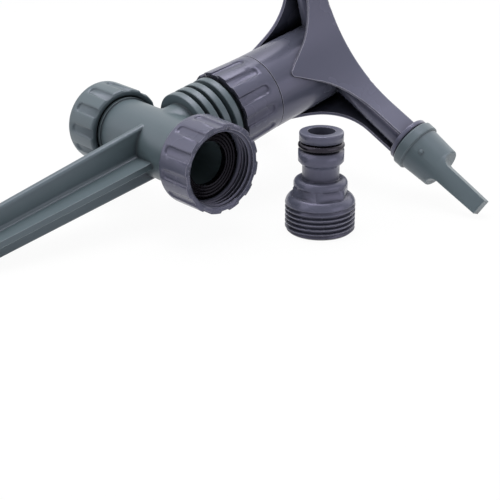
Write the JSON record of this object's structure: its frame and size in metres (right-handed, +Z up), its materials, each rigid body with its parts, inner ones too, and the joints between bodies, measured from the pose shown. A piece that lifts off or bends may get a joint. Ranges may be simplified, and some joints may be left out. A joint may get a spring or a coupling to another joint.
{
  "type": "lawn sprinkler",
  "caption": "Lawn sprinkler with a rotor of nozzle arms on a ribbed riser, a screw-in hose inlet with end cap, a vaned ground spike and a separate click adapter.",
  "frame": {"origin": "on the floor under the middle of the set's bounding box", "axes": "+X is the level direction from spike to rotor, +Y from the hose nut to the end cap, +Z up"},
  "size_m": [0.205, 0.172, 0.1403],
  "materials": {
    "green_plastic": "satin",
    "grey_plastic": "satin",
    "slip_plastic": "natural",
    "black_rubber": "satin"
  },
  "bodies": {
    "stand": {"spike_body": "green_plastic", "inlet_washer": "black_rubber", "collar_nut": "grey_plastic", "riser_seal": "black_rubber", "slip_washer": "slip_plastic"},
    "swivel_nut": {"hose_nut": "grey_plastic"},
    "rotor": {"rotor": "grey_plastic", "hub_o_ring": "black_rubber", "nozzle_o_ring_1": "black_rubber", "nozzle_o_ring_2": "black_rubber", "nozzle_o_ring_3": "black_rubber"},
    "nozzle_1": {"nozzle_1": "green_plastic"},
    "nozzle_2": {"nozzle_2": "green_plastic"},
    "nozzle_3": {"nozzle_3": "green_plastic"},
    "cap_seal": {"end_cap_washer": "black_rubber"},
    "cap": {"end_cap": "green_plastic"},
    "adapter": {"adapter": "grey_plastic", "adapter_o_ring": "black_rubber"}
  },
  "joints": [
    {"name": "rotor_spin", "type": "hinge", "parent": "stand", "child": "rotor", "pos_m": [0.05058, 0, 0.03939], "axis": [0.9709, 0, 0.2394], "continuous": true},
    {"name": "nozzle_1_turn", "type": "hinge", "parent": "rotor", "child": "nozzle_1", "pos_m": [0.08534, 0, 0.04796], "axis": [-0.2394, 0, 0.9709], "continuous": true},
    {"name": "nozzle_2_turn", "type": "hinge", "parent": "rotor", "child": "nozzle_2", "pos_m": [0.08534, 0, 0.04796], "axis": [0.1197, -0.866, -0.4855], "continuous": true},
    {"name": "nozzle_3_turn", "type": "hinge", "parent": "rotor", "child": "nozzle_3", "pos_m": [0.08534, 0, 0.04796], "axis": [0.1197, 0.866, -0.4855], "continuous": true},
    {"name": "hose_nut_swivel", "type": "hinge", "parent": "stand", "child": "swivel_nut", "pos_m": [0.00272, -0.02119, 0.02714], "axis": [0.005, -0.9998, -0.0203], "continuous": true},
    {"name": "cap_travel", "type": "slide", "parent": "stand", "child": "cap_seal", "axis": [-0.005, 0.9998, 0.0203], "range_m": [0, 0.0109]},
    {"name": "cap_turn", "type": "hinge", "parent": "cap_seal", "child": "cap", "pos_m": [0.0025, 0.02329, 0.02804], "axis": [-0.005, 0.9998, 0.0203], "range_deg": [0, 2160]},
    {"name": "adapter_lift", "type": "slide", "parent": "stand", "child": "adapter", "axis": [0, 0, 1], "range_m": [0, 0.06]}
  ],
  "couplings": [
    {"joint": "cap_travel", "follows": "cap_turn", "m_per_rad": 0.00028871}
  ]
}
